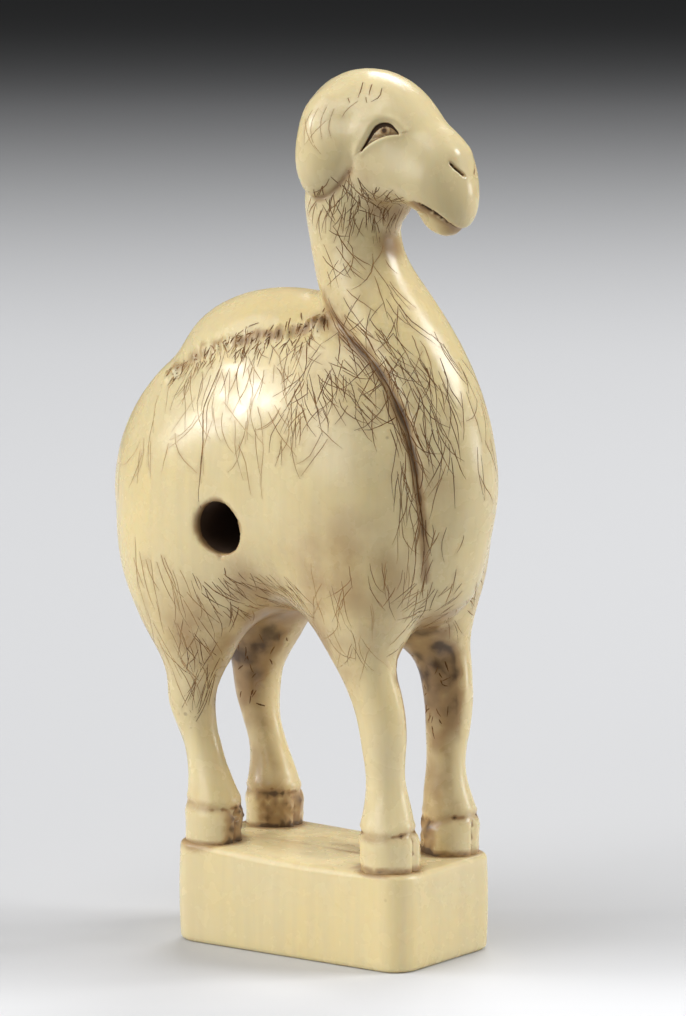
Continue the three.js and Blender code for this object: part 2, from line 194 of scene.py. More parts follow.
# each form is a function that says how far a place lies outside it, or inside it when negative
def limb(rows):
    mid_x, mid_y, half_x, half_y = (curve_through(rows, column) for column in (1, 2, 3, 4))
    foot, top = rows[0, 0], rows[-1, 0]

    def depth(x, y, z):
        rx, ry = half_x(z), half_y(z)
        px, py = (x - mid_x(z)) / rx, (y - mid_y(z)) / ry
        scaled = np.hypot(px, py) + 1e-9
        side = scaled * (scaled - 1) / (np.hypot(px / rx, py / ry) + 1e-9)
        return np.maximum(side, np.maximum(z - top, foot - z))
    return depth


def egg(centre, radii, pitch=0.0, lower=None):
    cos, sin = math.cos(math.radians(pitch)), math.sin(math.radians(pitch))

    def depth(x, y, z):
        along = cos * (x - centre[0]) - sin * (z - centre[2])
        up = sin * (x - centre[0]) + cos * (z - centre[2])
        rz = radii[2] if lower is None else np.where(up > 0, radii[2], lower)
        px, py, pz = along / radii[0], (y - centre[1]) / radii[1], up / rz
        scaled = np.sqrt(px * px + py * py + pz * pz) + 1e-9
        slope = np.sqrt((px / radii[0]) ** 2 + (py / radii[1]) ** 2 + (pz / rz) ** 2) + 1e-9
        return scaled * (scaled - 1) / slope
    return depth


def blended(a, b, width):
    h = np.clip(0.5 + 0.5 * (b - a) / width, 0, 1)
    return b + (a - b) * h - width * h * (1 - h)


hind_leg, fore_leg, neck, tail = limb(HIND_LEG), limb(FORE_LEG), limb(NECK), limb(TAIL)
barrel = egg((-3.73, 0, 35.94), (16.41, 8.8, 13.83), 0, 9.46)
rump = egg((-10.76, 0, 34.42), (8.04, 7.6, 9.6))
shoulder = egg((4.2, 3.4, 37.0), (7.1, 5.3, 13.0), -8)
withers = egg((-0.2, 0, 41.5), (8.6, 7.2, 10.0))
hump = egg((-3.96, 0, 45.51), (10.09, 6.5, 6.66))
throat = egg((4.9, 0, 60.16), (2.18, 2.4, 2.32), -20)
skull = egg((3.4, 0, 65.04), (5.51, 4.6, 4.85))
face = egg((7.56, 0, 62.65), (6.73, 3.55, 4.04), 41, 2.02)
muzzle = egg((10.02, 0, 62.26), (2.14, 2.6, 3.01), 0, 2.49)
chin = egg((10.19, 0, 59.03), (2.01, 1.8, 1.41), 44)
cheek = egg((5.49, 2.05, 61.95), (3.68, 1.8, 1.9), 12)
ear = egg((1.85, 3.5, 64.28), (2.45, 1.95, 3.66))
ear_tip = egg((0.96, 3.4, 62.69), (1.51, 1.9, 2.76))


def animal(x, y, z):
    side = np.abs(y)
    body = blended(barrel(x, y, z), rump(x, y, z), 2.5)
    body = blended(body, hind_leg(x, side, z), 2.6)
    body = blended(body, fore_leg(x, side, z), 1.8)
    body = blended(body, shoulder(x, side, z), 2.5)
    body = blended(body, withers(x, y, z), 2.0)
    body = blended(body, hump(x, y, z), 1.0)
    body = blended(body, neck(x, y, z), 0.7)
    body = blended(body, throat(x, y, z), 1.2)
    body = blended(body, tail(x, y, z), 0.5)
    head = blended(skull(x, y, z), face(x, y, z), 2.0)
    head = blended(head, muzzle(x, y, z), 1.5)
    head = blended(head, chin(x, y, z), 0.4)
    head = blended(head, cheek(x, side, z), 1.2)
    hanging = blended(ear(x, side, z), ear_tip(x, side, z), 1.0)
    ear_seam = 0.35 + 1.3 * np.clip((z - 62) / 6, 0, 1)
    return blended(blended(body, head, 0.8), hanging, ear_seam)


def bore_depth(x, z):
    return np.hypot(x - CHANNEL[0], z - CHANNEL[1]) - CHANNEL_RADIUS


def bored(x, y, z):
    return -blended(-animal(x, y, z), bore_depth(x, z), 0.24)


# which way and how steeply a form's depth rises, its outward direction, and points brought onto its surface
def slope_of(form, points, reach=0.02):
    columns = []
    for axis in range(3):
        step = np.zeros(3)
        step[axis] = reach
        ahead, behind = (points + step).T, (points - step).T
        columns.append((form(*ahead) - form(*behind)) / (2 * reach))
    return np.stack(columns, 1)


def facing(form, points):
    slope = slope_of(form, points)
    return slope / (np.linalg.norm(slope, axis=1, keepdims=True) + 1e-9)


def settled(form, points, rounds=4, stride=0.25):
    points = np.array(points, float)
    for _ in range(rounds):
        slope = slope_of(form, points)
        steep = np.maximum((slope ** 2).sum(1), 0.2)
        move = np.clip(form(*points.T) / steep, -stride, stride)
        points -= slope * move[:, None]
    return points


# a line of a few places rounded off and laid on the animal
def eased(line, rounds=2):
    line = np.array(line, float)
    for _ in range(rounds):
        middle = np.empty((2 * len(line) - 2, 3))
        middle[0::2] = 0.75 * line[:-1] + 0.25 * line[1:]
        middle[1::2] = 0.25 * line[:-1] + 0.75 * line[1:]
        line = np.vstack([line[:1], middle, line[-1:]])
    return settled(animal, line, 6)


# how far points lie from a line, and how far along it, from 0 to 1
def off_line(points, line):
    gap, along, done = np.full(len(points), 1e9), np.zeros(len(points)), 0.0
    for start, end in zip(line[:-1], line[1:]):
        run = end - start
        length = np.linalg.norm(run)
        t = np.clip((points - start) @ run / length ** 2, 0, 1)
        here = np.linalg.norm(points - start - t[:, None] * run, axis=1)
        closer = here < gap
        gap[closer], along[closer] = here[closer], done + t[closer] * length
        done += length
    return gap, along / done


# lines of the right side, all mirrored to the left, each place being x, y, z
UPPER_LID = eased([(5.56, -4.29, 63.88), (6.08, -4.23, 64.68), (6.36, -4.09, 65.3), (6.6, -3.89, 65.84),
                   (6.97, -3.62, 66.15), (7.37, -3.38, 66.21), (7.79, -3.17, 66.09), (8.13, -3.11, 65.72),
                   (8.46, -3.05, 65.35)])
LID_INSIDE = eased([(5.6, -4.29, 63.9), (6.12, -4.2, 64.5), (6.45, -4.05, 65.0), (6.66, -3.95, 65.4),
                    (6.95, -3.75, 65.74), (7.2, -3.6, 65.86), (7.49, -3.42, 65.94), (7.93, -3.23, 65.75),
                    (8.3, -3.15, 65.4)])
LOWER_LID = eased([(5.56, -4.29, 63.84), (6.08, -4.23, 64.4), (6.7, -4.02, 64.86), (7.2, -3.8, 65.1),
                   (7.6, -3.57, 65.26), (8.19, -3.21, 65.36), (8.46, -3.05, 65.33)])
PUPIL = (7.35, -3.61, 65.6)
BROW = eased([(4.93, -4.47, 65.17), (5.23, -4.36, 65.65), (5.59, -4.19, 66.1), (6.04, -3.9, 66.6),
              (6.7, -3.5, 66.95)])
NOSTRIL = eased([(12.15, -1.6, 63.21), (12.44, -1.34, 62.82), (12.68, -1.02, 62.5), (12.89, -0.66, 62.17)])
NOSE_BUMP = (12.1, -0.85, 63.95)
MOUTH = eased([(9.9, -3.05, 60.15), (10.48, -2.82, 59.81), (10.97, -2.59, 59.52), (11.36, -2.33, 59.24),
               (11.68, -2.03, 58.9), (11.95, -1.6, 58.5), (12.05, -1.1, 58.15), (12.02, -0.5, 57.95),
               (12.0, 0.0, 57.9)])
EAR_EDGE = eased([(4.78, -4.2, 63.1), (4.62, -4.15, 62.5), (4.13, -4.02, 61.98), (3.57, -3.91, 61.39),
                  (3.0, -3.91, 60.81), (2.38, -3.97, 60.35), (1.71, -3.98, 60.07), (0.99, -3.91, 59.94),
                  (0.2, -3.7, 60.1)])
EAR_FRONT = eased([(4.7, -4.2, 66.8), (4.9, -4.35, 65.7), (4.88, -4.4, 64.94), (4.78, -4.4, 64.15),
                   (4.7, -4.3, 63.36), (4.66, -4.2, 62.7)])
VALLEY = eased([(1.66, -3.52, 52.01), (2.88, -4.02, 50.98), (4.32, -4.54, 49.82), (5.68, -4.84, 48.87),
                (6.94, -4.87, 48.04), (8.3, -4.92, 46.59), (9.37, -4.95, 44.97), (10.21, -4.93, 43.49),
                (10.8, -4.96, 41.98), (11.31, -5.0, 40.08), (11.61, -5.02, 38.16), (11.85, -4.83, 36.21),
                (11.87, -4.57, 34.22), (11.55, -3.98, 30.98)])
FRINGE = eased([(-13.0, -3.6, 44.6), (-11.4, -4.63, 46.21), (-9.26, -5.22, 47.4), (-6.43, -5.71, 48.23),
                (-4.04, -5.65, 48.81), (-1.89, -5.27, 49.33), (0.13, -4.72, 49.82), (2.0, -4.3, 50.6)])
CRACK = eased([(-6.4, -6.28, 46.56), (-6.76, -6.46, 45.6), (-7.25, -6.86, 44.11), (-7.42, -7.29, 43.04),
               (-7.04, -7.8, 41.71), (-6.77, -8.16, 40.43), (-6.81, -8.38, 39.27), (-6.76, -8.58, 37.79),
               (-6.9, -8.66, 36.36), (-6.6, -8.66, 35.3)], 1)
# middle x, middle y, height of the band
FEET = [(-8.87, 4.0, 10.93), (8.27, 4.06, 10.72)]


def places(mesh):
    flat = np.empty(len(mesh.verts) * 3)
    for i, vert in enumerate(mesh.verts):
        flat[3 * i:3 * i + 3] = vert.co
    return flat.reshape(-1, 3)


def place(mesh, points):
    for vert, point in zip(mesh.verts, points):
        vert.co = point


def wander(points, scale, shift=0.0):
    away = Vector((shift, 3.1 * shift, 7.7))
    return np.array([noise.noise(Vector(p) / scale + away) for p in points])


# the solid's own mesh, less its block, made into an even skin and slid onto the carved form
FOOT_CUT = BLOCK_TOP + 0.5
SKIN_STEP = 0.8
rough = bmesh.new()
rough.from_mesh(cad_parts["camel_netsuke"].data)
bmesh.ops.remove_doubles(rough, verts=rough.verts, dist=1e-6)
bmesh.ops.scale(rough, vec=(1000, 1000, 1000), verts=rough.verts)
bmesh.ops.bisect_plane(rough, geom=rough.verts[:] + rough.edges[:] + rough.faces[:], dist=1e-5,
                       plane_co=(0, 0, FOOT_CUT), plane_no=(0, 0, 1), clear_inner=True)
rims = [e for e in rough.edges if e.is_boundary]
grown = bmesh.ops.extrude_edge_only(rough, edges=rims)["geom"]
bmesh.ops.translate(rough, vec=(0, 0, BLOCK_TOP - HOOF_SINK - FOOT_CUT),
                    verts=[g for g in grown if isinstance(g, bmesh.types.BMVert)])
bmesh.ops.holes_fill(rough, edges=[e for e in rough.edges if e.is_boundary], sides=0)
bmesh.ops.recalc_face_normals(rough, faces=rough.faces)

stock = bpy.data.meshes.new("stock")
rough.to_mesh(stock)
rough.free()
stock_object = bpy.data.objects.new("stock", stock)
bpy.context.scene.collection.objects.link(stock_object)
even = stock_object.modifiers.new("even", "REMESH")
even.mode = "VOXEL"
even.voxel_size = SKIN_STEP
bpy.context.view_layer.update()
shaped = bpy.data.meshes.new_from_object(stock_object.evaluated_get(bpy.context.evaluated_depsgraph_get()))
bpy.data.objects.remove(stock_object)

skin = bmesh.new()
skin.from_mesh(shaped)
for _ in range(3):
    place(skin, settled(bored, places(skin)))
    bmesh.ops.smooth_vert(skin, verts=skin.verts, factor=0.5,
                          use_axis_x=True, use_axis_y=True, use_axis_z=True)
place(skin, settled(bored, places(skin)))


def mirrored_right(points):
    return np.column_stack([points[:, 0], -np.abs(points[:, 1]), points[:, 2]])


# finer faces within a given distance of carved lines, and wherever else the extra test says
def refine(radii, extra=None):
    centres = mirrored_right(np.array([f.calc_center_median() for f in skin.faces]))
    near = np.zeros(len(centres), bool)
    for line, radius in radii:
        near |= off_line(centres, line)[0] < radius
    if extra is not None:
        near |= extra(centres)
    chosen = {e for f, hit in zip(skin.faces, near) if hit for e in f.edges}
    bmesh.ops.subdivide_edges(skin, edges=list(chosen), cuts=1, use_grid_fill=True)


def at_bore_mouth(c, off_bore, off_skin):
    return (np.abs(bore_depth(c[:, 0], c[:, 2])) < off_bore) & (np.abs(animal(*c.T)) < off_skin)


refine([(UPPER_LID, 1.3), (LOWER_LID, 1.2), (NOSTRIL, 1.3), (MOUTH, 0.95), (EAR_EDGE, 0.9), (FRINGE, 1.2),
        (VALLEY, 0.8), (EAR_FRONT, 0.5)],
       lambda c: (c[:, 2] < 12.2) | at_bore_mouth(c, 0.6, 0.8))
refine([(UPPER_LID, 0.75), (LOWER_LID, 0.6), (NOSTRIL, 0.5), (MOUTH, 0.45), (EAR_EDGE, 0.4),
        (FRINGE[8:], 0.75), (VALLEY, 0.45)],
       lambda c: at_bore_mouth(c, 0.3, 0.4))
refine([(UPPER_LID, 0.5), (LOWER_LID, 0.35), (NOSTRIL, 0.25)])
refine([(UPPER_LID, 0.2)])
place(skin, settled(bored, places(skin)))
bmesh.ops.triangulate(skin, faces=[f for f in skin.faces if len(f.verts) > 4])


# what each place of the skin carries: how far it rises, its ink where a line is cut, and its stain of age
# together with painted shade
points = places(skin)
outward = facing(bored, points)
right = mirrored_right(points)
relief = np.zeros(len(points))
line_ink_and_bore_shade = np.zeros(len(points))
stain = np.zeros(len(points))


def ramp(value, low, high):
    t = np.clip((value - low) / (high - low), 0, 1)
    return t * t * (3 - 2 * t)


def bell(gap, width):
    return np.exp(-(gap / width) ** 2)


# the eye, worked out in a flat frame laid on the face at the pupil
eye_normal = facing(animal, np.array([PUPIL]))[0]
eye_along = UPPER_LID[-1] - UPPER_LID[0]
eye_along -= eye_normal * (eye_along @ eye_normal)
eye_along /= np.linalg.norm(eye_along)
eye_up = np.cross(eye_along, eye_normal)
eye_up *= np.sign(eye_up[2])
eye_area = np.linalg.norm(right - PUPIL, axis=1) < 3.2
eye_skin = right[eye_area]
a, b = (eye_skin - PUPIL) @ eye_along, (eye_skin - PUPIL) @ eye_up


def lid(line):
    flat = np.stack([(line - PUPIL) @ eye_along, (line - PUPIL) @ eye_up], 1)
    flat = flat[np.argsort(flat[:, 0])]
    return np.interp(a, flat[:, 0], flat[:, 1]), flat[0, 0], flat[-1, 0]


top, tail_end, front_end = lid(UPPER_LID)
under_top, low = lid(LID_INSIDE)[0], lid(LOWER_LID)[0]
within = ramp(a, tail_end, tail_end + 0.15) * (1 - ramp(a, front_end - 0.12, front_end))
band = within * ramp(b, under_top - 0.05, under_top + 0.03) * (1 - ramp(b, top - 0.03, top + 0.05))
ball = within * ramp(b, low - 0.02, low + 0.05) * (1 - ramp(b, under_top - 0.06, under_top + 0.02))
above_lid, below_lid = off_line(eye_skin, UPPER_LID)[0], off_line(eye_skin, LOWER_LID)[0]
lower_cut = bell(below_lid, 0.07) * within
pupil = bell(np.hypot(a, b), 0.27)
iris = bell(np.hypot(a, b) - 0.52, 0.09)
swell_along = np.clip(1 - (a / 0.8) ** 2, 0, 1)
swell_up = np.clip(1 - ((b - (low + under_top) / 2) / 0.35) ** 2, 0, 1)
socket = -0.2 * band - 0.14 * ball + 0.16 * ball * swell_along * swell_up
socket -= 0.10 * lower_cut + 0.10 * pupil * ball
socket += 0.10 * bell(above_lid - 0.42, 0.3) * (b > top) + 0.045 * bell(below_lid - 0.2, 0.2) * (b < low)
relief[eye_area] += socket
line_ink_and_bore_shade[eye_area] = np.maximum.reduce([band, 0.7 * lower_cut, pupil * ball])
corner = ball * ramp(-a, 0.2, 0.7) * np.clip(0.5 + 1.6 * np.sin(9 * b + 4 * a), 0, 1)
shadow = 0.14 * bell(above_lid, 0.5)
stain[eye_area] = np.maximum.reduce([0.4 * ball, 0.75 * iris * ball, 0.8 * corner, shadow])
relief += 0.14 * bell(off_line(right, BROW)[0], 0.55)

# nostrils, mouth and the edge of the ears
gap, along = off_line(right, NOSTRIL)
taper = np.clip(np.minimum(along, 1 - along) * 6 + 0.35, 0, 1)
relief -= 0.26 * taper * np.clip(1 - gap / 0.17, 0, 1)
fine_worn = wander(points, 0.4)
line_ink_and_bore_shade = np.maximum(line_ink_and_bore_shade, 0.9 * taper * ramp(-gap, -0.15, -0.07) * (0.75 + 0.8 * fine_worn))
relief += 0.2 * bell(np.linalg.norm(right - NOSE_BUMP, axis=1), 0.75) * (gap > 0.1)
stain = np.maximum(stain, 0.25 * bell(gap, 0.4))
gap, along = off_line(right, MOUTH)
taper = np.clip(along * 7 + 0.15, 0, 1) * (1 - 0.45 * along)
relief -= 0.34 * taper * np.clip(1 - gap / (0.12 + 0.14 * taper), 0, 1)
lip = taper ** 0.5 * ramp(-gap, -0.22 * taper, -0.09 * taper)
line_ink_and_bore_shade = np.maximum(line_ink_and_bore_shade, lip * (0.9 + 0.3 * fine_worn))
# painted shadow below the mouth line, browning the lip beneath it
below_mouth = (right[:, 0] > 9) & (right[:, 2] < 60.2) & (right[:, 2] < 60.2 - 0.9 * (right[:, 0] - 10.0))
stain = np.maximum(stain, 0.5 * bell(gap, 1.1) * below_mouth + 0.2 * bell(gap, 0.5))
gap, along = off_line(right, EAR_EDGE)
taper = np.clip(np.minimum(along, 1 - along) * 5 + 0.2, 0, 1)
relief -= 0.16 * taper * np.clip(1 - gap / 0.2, 0, 1)
edge_ink = 0.62 * taper * np.clip(1.1 - 1.25 * along, 0, 1)
line_ink_and_bore_shade = np.maximum(line_ink_and_bore_shade, edge_ink * ramp(-gap, -0.13, -0.03) * (0.8 + 1.1 * wander(points, 0.5)))
stain = np.maximum(stain, 0.5 * taper * bell(gap, 0.42) * (right[:, 2] < 62.8))
gap, along = off_line(right, EAR_FRONT)
relief -= 0.05 * bell(gap, 0.3) * np.clip(along * 3, 0, 1)
stain = np.maximum(stain, 0.26 * bell(gap, 0.45) * along)

# the feet: a cut band round the top, a swelling below it, a cleft in front and rough inner faces
for middle_x, middle_y, band_height in FEET:
    foot = (np.abs(points[:, 0] - middle_x) < 4) & (points[:, 2] < 13.5)
    x, y, z = points[foot, 0] - middle_x, np.abs(points[foot, 1]) - middle_y, points[foot, 2]
    turn = np.arctan2(y, x)
    height = band_height + 0.16 * np.sin(2 * turn + middle_x) + 0.12 * wander(points[foot], 1.2)
    cut = bell(z - height, 0.14)
    cleft = bell(y, 0.17) * (x > 0) * ramp(-z, -height + 0.1, -height + 0.6)
    inner = ramp(-(x * np.sign(middle_x) * 0.86 + y * 0.5), 0.6, 1.5) * (z < height - 0.1)
    grit = wander(points[foot], 0.35) + 0.6 * wander(points[foot], 0.17, 4.0)
    hoof = -0.16 * cut + 0.1 * bell(z - height + 0.75, 0.5) - 0.34 * cleft
    relief[foot] += hoof - 0.16 * inner + 0.2 * inner * grit
    relief[foot] += 0.06 * bell(z - height - 0.45, 0.25)
    worn = np.clip(0.5 + 0.8 * wander(points[foot], 0.7, 2.0), 0.15, 0.85)
    cut_ink = worn * cut * ramp(-np.abs(z - height), -0.2, -0.08)
    line_ink_and_bore_shade[foot] = np.maximum.reduce([line_ink_and_bore_shade[foot], cut_ink, 0.8 * cleft * worn])
    # stain with painted shade on the inner faces and on the foot just above the block
    patch = 0.75 * inner * (0.7 + 0.7 * grit) + 0.7 * bell(z - BLOCK_TOP - 0.05, 0.22)
    patch = patch + 0.3 * bell(z - height, 0.4) + 0.08
    stain[foot] = np.maximum(stain[foot], patch * (z < 13))

# the hump ends in a ledge, with raised tufts in the hair below it
TUFTS = 150
rng = np.random.default_rng(11)
gap, along = off_line(right, FRINGE)
relief -= 0.34 * bell(gap, 1.15) * (1 - ramp(along, 0.9, 1.0))
for _ in range(TUFTS):
    t = rng.random()
    at = FRINGE[int(t * (len(FRINGE) - 1))] + rng.normal(0, 0.32, 3)
    for sign in (1, -1):
        offset = points - at * (1, sign, 1)
        tilt = offset[:, 0] * 0.9 + offset[:, 2] * 0.25
        reach = np.hypot(tilt / 0.16, offset[:, 2] / 0.42)
        relief += 0.13 * np.exp(-reach ** 2) * (np.abs(offset[:, 1]) < 1.0)
blotched = np.clip(0.75 + 1.1 * wander(points, 0.9), 0.1, 1.2)
stain = np.maximum(stain, 0.72 * bell(gap, 0.7) * blotched * (0.55 + 0.45 * along))

# a warmer brown tone low on the shoulder, under the jaw and on the thigh, partly stain and partly painted
# shade on parts that face down and away from the light: each patch has a middle, a reach and a strength
SHADE_AND_STAIN_PATCHES = [((6.5, -7.0, 31.5), 6.0, 0.44), ((9.8, -3.0, 38.0), 5.0, 0.34), ((4.0, -4.5, 25.5), 4.5, 0.62),
           ((6.4, -2.8, 59.3), 1.9, 0.56), ((5.8, -3.6, 61.6), 1.6, 0.3), ((-8.0, -6.0, 25.0), 5.0, 0.46),
           ((-3.0, -7.5, 27.6), 4.6, 0.5), ((3.5, -4.2, 54.0), 5.0, 0.16), ((4.5, -5.5, 45.0), 5.0, 0.2)]
patchy = 0.9 + 0.4 * wander(points, 2.5)
for middle, width, tone in SHADE_AND_STAIN_PATCHES:
    reach = np.linalg.norm(right - middle, axis=1)
    stain = np.maximum(stain, tone * bell(reach, width) * patchy)

# brown in the valleys, under the belly, inside the legs, in the bore and below the throat: stain of age with
# painted shade in the valleys and hollows, painted shade on the underside, stain with painted shade on the
# inner faces of the legs, and painted shade darkening the bore inward
gap, along = off_line(right, VALLEY)
deepest = np.clip(1 - np.abs(along - 0.5) / 0.4, 0, 1) ** 0.7
relief -= 0.3 * bell(gap, 0.45) * deepest
# stain of age with painted shade along the valley beside the neck
darkest = bell(gap, 0.42) * np.clip(1.05 - 0.75 * np.abs(along - 0.48), 0.4, 1)
stain = np.maximum(stain, darkest * (0.95 + 0.3 * wander(points, 1.5)))
upper_part = (right[:, 0] < 12) * ramp(-along, -0.75, -0.55)
stain = np.maximum(stain, 0.4 * bell(gap, 1.2) * upper_part * (0.8 + 0.8 * wander(points, 0.8)))
# painted shade with stain in the hollow at the top of the valley and under the throat
DARK_HOLLOWS = [((1.9, -4.0, 50.8), 1.6, 0.55), ((7.2, -1.2, 58.6), 2.0, 0.5), ((5.7, -0.4, 56.4), 1.4, 0.6)]
for middle, width, tone in DARK_HOLLOWS:
    stain = np.maximum(stain, tone * bell(np.linalg.norm(right - middle, axis=1), width))
# painted shade on surfaces that face down, under the belly
under = ramp(-outward[:, 2], 0.25, 0.85) * ramp(-points[:, 2], -31, -26) * (points[:, 2] > 14)
stain = np.maximum(stain, 0.62 * under)
# stain and painted shade on the faces of the legs that turn inward
inner_leg = ramp(-outward[:, 1] * np.sign(points[:, 1]), 0.1, 0.7) * (points[:, 2] < 27) * (points[:, 2] > 11)
inner_leg = inner_leg * (0.28 + 0.66 * ramp(points[:, 2], 15, 23))
stain = np.maximum(stain, inner_leg * (0.88 + 0.7 * wander(points, 1.1)))
# in the bore: a brown stained rim, and painted shade that darkens the wall towards black further in
inside = bore_depth(points[:, 0], points[:, 2])
deep = ramp(-animal(*points.T), 0.05, 0.9)
stain = np.maximum(stain, np.where(inside < 0.1, 0.55 + 0.45 * deep, 0))
stain = np.maximum(stain, 0.55 * bell(inside, 0.2))
line_ink_and_bore_shade = np.maximum(line_ink_and_bore_shade, np.where(inside < 0.1, ramp(deep, 0.35, 1.0), 0))
tail_seam = bell(np.abs(points[:, 1]) - 0.9, 0.3) * (points[:, 0] < -14) * (points[:, 2] < 41)
stain = np.maximum(stain, 0.3 * tail_seam)

place(skin, points + outward * relief[:, None])
bmesh.ops.triangulate(skin, faces=skin.faces)
skin.normal_update()


# a finished surface kept for looking up the normal, the stain with painted shade and the line ink at places
# near it
class Reference:
    def __init__(self, mesh, values):
        corners = [v.co.copy() for v in mesh.verts]
        self.faces = [[v.index for v in f.verts] for f in mesh.faces]
        self.places = np.array([tuple(c) for c in corners])
        self.normals = np.array([tuple(v.normal) for v in mesh.verts])
        self.values = values
        self.tree = BVHTree.FromPolygons(corners, self.faces)
        self.faces = np.array(self.faces)

    def read(self, points):
        hits = np.array([self.tree.find_nearest(Vector(p))[2] for p in points])
        corner = self.faces[hits]
        p0, p1, p2 = (self.places[corner[:, k]] for k in range(3))
        e1, e2, d = p1 - p0, p2 - p0, points - p0
        d11, d12, d22 = (e1 * e1).sum(1), (e1 * e2).sum(1), (e2 * e2).sum(1)
        b1, b2 = (d * e1).sum(1), (d * e2).sum(1)
        wide = d11 * d22 - d12 * d12 + 1e-20
        w1 = np.clip((d22 * b1 - d12 * b2) / wide, 0, 1)
        w2 = np.clip((d11 * b2 - d12 * b1) / wide, 0, 1)
        weights = np.stack([np.clip(1 - w1 - w2, 0, 1), w1, w2], 1)
        weights /= weights.sum(1, keepdims=True)
        normals = (self.normals[corner] * weights[:, :, None]).sum(1)
        normals /= np.linalg.norm(normals, axis=1, keepdims=True) + 1e-12
        return normals, (self.values[corner] * weights[:, :, None]).sum(1)


skin.verts.index_update()
carved = Reference(skin, np.stack([stain, line_ink_and_bore_shade], 1))
for f in skin.faces:
    f.smooth = True
carving_mesh = bpy.data.meshes.new("camel_carving")
skin.to_mesh(carving_mesh)
skin.free()
carving = bpy.data.objects.new("camel_carving", carving_mesh)
bpy.context.scene.collection.objects.link(carving)


# the block, its edges worn round and its top a little domed
block = bmesh.new()
bmesh.ops.create_cube(block, size=1.0)
bmesh.ops.scale(block, vec=(2 * BLOCK_HALF[0], 2 * BLOCK_HALF[1], BLOCK_TOP), verts=block.verts)
bmesh.ops.translate(block, vec=(BLOCK_MIDDLE, 0, BLOCK_TOP / 2), verts=block.verts)
upright = [e for e in block.edges if abs(e.verts[0].co.z - e.verts[1].co.z) > 1]
bmesh.ops.bevel(block, geom=upright, offset=BLOCK_CORNER, segments=7, profile=0.5,
                affect="EDGES", material=-1)
level = [e for e in block.edges if abs(e.verts[0].co.z - e.verts[1].co.z) < 1e-4
         and len({abs(f.normal.z) > 0.5 for f in e.link_faces}) == 2]
bmesh.ops.bevel(block, geom=level, offset=BLOCK_EDGE, segments=4, profile=0.5,
                affect="EDGES", material=-1)
cuts = [((x, 0, 0), (1, 0, 0)) for x in np.arange(-9.0, 9.1, 0.75)]
cuts += [((0, y, 0), (0, 1, 0)) for y in np.arange(-4.5, 4.6, 0.5)]
cuts += [((0, 0, z), (0, 0, 1)) for z in (0.9, 2.2, 4.0, 5.8, 6.9)]
for middle, normal in cuts:
    bmesh.ops.bisect_plane(block, geom=block.verts[:] + block.edges[:] + block.faces[:], dist=1e-4,
                           plane_co=middle, plane_no=normal)
for vert in block.verts:
    x, y, z = vert.co
    high = z / BLOCK_TOP
    spread = 1 + 0.011 * (1 - (2 * high - 1) ** 2)
    vert.co.x, vert.co.y = BLOCK_MIDDLE + (x - BLOCK_MIDDLE) * spread, y * spread
    lift = 0.05 * noise.noise(Vector((x, y, z)) / 4)
    vert.co.z -= high * (BLOCK_TILT * x - lift)
for vert in block.verts:
    x, y, z = vert.co
    if z > 6.5:
        edge = max(abs(y) - 4.6, 0) / 1.9
        vert.co.z -= 0.34 * min(edge, 1) ** 2 * max(0, 1 - (x / 9.5) ** 2) * (1 if y < 0 else 0.7)
bmesh.ops.triangulate(block, faces=block.faces)
for f in block.faces:
    f.smooth = True
block.normal_update()
block.verts.index_update()
spots = places(block)
block_stain = np.zeros(len(spots))
# a darker ring on the top round each foot, dirt in the corner with painted contact shade; then brown streaks
# between the feet
for middle_x, middle_y, _ in FEET:
    away = np.hypot(spots[:, 0] - middle_x, np.abs(spots[:, 1]) - middle_y) - 2.3
    block_stain = np.maximum(block_stain, 0.62 * bell(np.maximum(away, 0), 0.5) * ramp(spots[:, 2], 7.2, 7.7))
streaks = np.array([noise.noise(Vector((0.22 * x, 1.5 * y, 3.0)))
                    + 0.5 * noise.noise(Vector((0.5 * x, 3.2 * y, 9.0))) for x, y, _ in spots])
top_middle = ramp(-np.abs(spots[:, 0]), -8.5, -4.0) * ramp(-np.abs(spots[:, 1] - 1.0), -5.2, -2.0)
top_middle *= ramp(spots[:, 2], 7.2, 7.7)
block_stain = np.maximum(block_stain, np.clip(0.12 + 0.42 * streaks, 0, 0.5) * top_middle)
plinth = Reference(block, np.stack([block_stain, 0 * block_stain], 1))
block_mesh = bpy.data.meshes.new("block")
block.to_mesh(block_mesh)
block.free()
block_object = bpy.data.objects.new("block", block_mesh)
bpy.context.scene.collection.objects.link(block_object)


# the engraved hair: strokes walked over the surface, then cut into it in groups whose strokes don't touch
STEPS_IN = 45
hairs = []


# strokes that follow a heading over the animal, each with a bend of its own
def walk(starts, heading, length, curl, count, rng):
    path = [starts]
    turn, bend = np.zeros(len(starts)), np.radians(rng.normal(0, 1, len(starts)) * curl)
    for _ in range(count - 1):
        slope = slope_of(animal, path[-1])
        steep = (slope ** 2).sum(1, keepdims=True) + 1e-9
        path[-1] = path[-1] - slope * animal(*path[-1].T)[:, None] / steep
        normal = slope / np.sqrt(steep)
        down = heading - normal * (heading * normal).sum(1, keepdims=True)
        down /= np.linalg.norm(down, axis=1, keepdims=True) + 1e-9
        across = np.cross(normal, down)
        step = down * np.cos(turn)[:, None] + across * np.sin(turn)[:, None]
        path.append(path[-1] + step * (length / (count - 1))[:, None])
        turn = turn + bend * length / (count - 1) + np.radians(rng.normal(0, 6.0, len(starts)))
    path[-1] = settled(animal, path[-1], 2)
    return np.stack(path, 1)


def laid(path):
    return np.array([tuple(carved.tree.find_nearest(Vector(p))[0]) for p in path])


